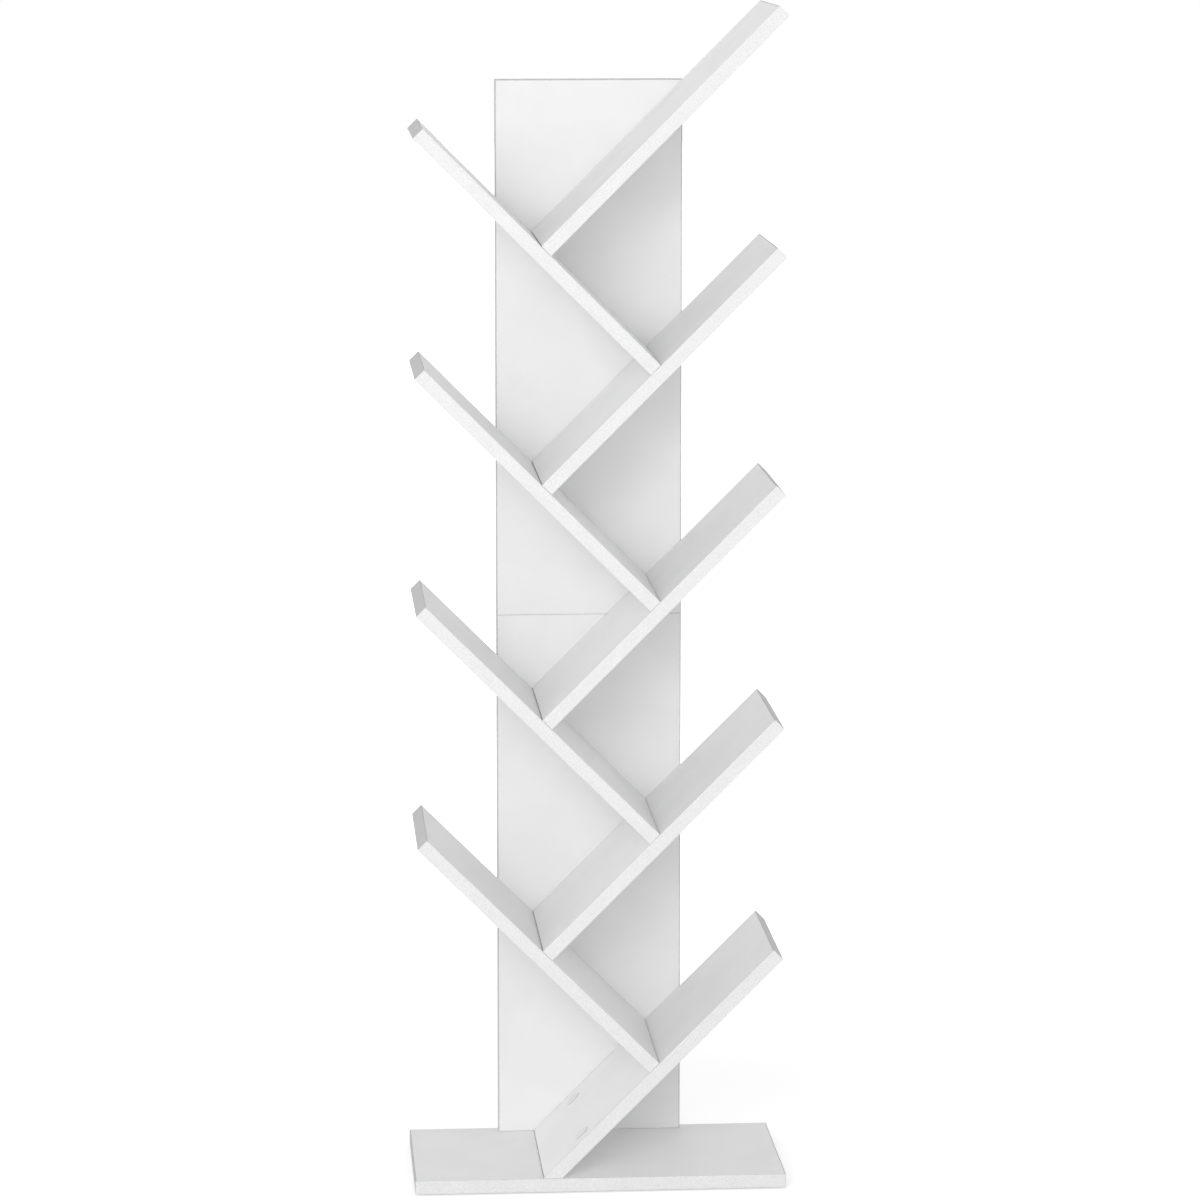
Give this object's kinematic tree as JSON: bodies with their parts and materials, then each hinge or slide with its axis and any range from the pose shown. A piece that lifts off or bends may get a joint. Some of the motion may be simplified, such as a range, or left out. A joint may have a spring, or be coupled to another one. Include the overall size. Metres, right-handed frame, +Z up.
{
  "type": "tree shaped bookshelf",
  "caption": "Free-standing tree-shaped bookshelf: sloping boards branch off to both sides in front of a tall back panel on a rectangular base.",
  "frame": {"origin": "on the floor, under the middle of the base", "axes": "+X to the right, +Y to the back, +Z up; the open front faces -Y"},
  "size_m": [0.44, 0.225, 1.3949],
  "materials": {
    "white_board": "white melamine-faced particle board with matching edge bands, satin",
    "white_plastic": "white moulded plastic, satin",
    "zinc_steel": "bright zinc-plated steel",
    "cast_zinc": "die-cast zinc, dull",
    "dowel_wood": "plain beech"
  },
  "bodies": {
    "root": {"base_board": "white_board", "back_panel_lower": "white_board", "back_panel_upper": "white_board", "shelf_right_1": "white_board", "shelf_right_2": "white_board", "shelf_right_3": "white_board", "shelf_right_4": "white_board", "shelf_right_5": "white_board", "shelf_left_1": "white_board", "shelf_left_2": "white_board", "shelf_left_3": "white_board", "shelf_left_4": "white_board", "panel_screw_right_1_inner": "zinc_steel", "panel_screw_right_1_outer": "zinc_steel", "panel_screw_right_2_inner": "zinc_steel", "panel_screw_right_2_outer": "zinc_steel", "panel_screw_right_3_inner": "zinc_steel", "panel_screw_right_3_outer": "zinc_steel", "panel_screw_right_4_inner": "zinc_steel", "panel_screw_right_4_outer": "zinc_steel", "panel_screw_right_5_inner": "zinc_steel", "panel_screw_right_5_outer": "zinc_steel", "panel_screw_left_1_inner": "zinc_steel", "panel_screw_left_1_outer": "zinc_steel", "panel_screw_left_2_inner": "zinc_steel", "panel_screw_left_2_outer": "zinc_steel", "panel_screw_left_3_inner": "zinc_steel", "panel_screw_left_3_outer": "zinc_steel", "panel_screw_left_4_inner": "zinc_steel", "panel_screw_left_4_outer": "zinc_steel", "joint_screw_left_1_front": "zinc_steel", "joint_screw_left_1_rear": "zinc_steel", "joint_screw_left_2_front": "zinc_steel", "joint_screw_left_2_rear": "zinc_steel", "joint_screw_left_3_front": "zinc_steel", "joint_screw_left_3_rear": "zinc_steel", "joint_screw_left_4_front": "zinc_steel", "joint_screw_left_4_rear": "zinc_steel", "joint_screw_right_2_front": "zinc_steel", "joint_screw_right_2_rear": "zinc_steel", "joint_screw_right_3_front": "zinc_steel", "joint_screw_right_3_rear": "zinc_steel", "joint_screw_right_4_front": "zinc_steel", "joint_screw_right_4_rear": "zinc_steel", "joint_screw_right_5_front": "zinc_steel", "joint_screw_right_5_rear": "zinc_steel", "panel_foot_screw_left": "zinc_steel", "panel_foot_screw_right": "zinc_steel", "panel_dowel_left": "dowel_wood", "panel_dowel_right": "dowel_wood", "cam_bolt_front": "zinc_steel", "cam_bolt_rear": "zinc_steel", "cam_front": "cast_zinc", "cam_rear": "cast_zinc", "cam_cover_front": "white_plastic", "cam_cover_rear": "white_plastic", "glide_front_left": "white_plastic", "glide_front_right": "white_plastic", "glide_rear_left": "white_plastic", "glide_rear_right": "white_plastic"}
  },
  "joints": []
}
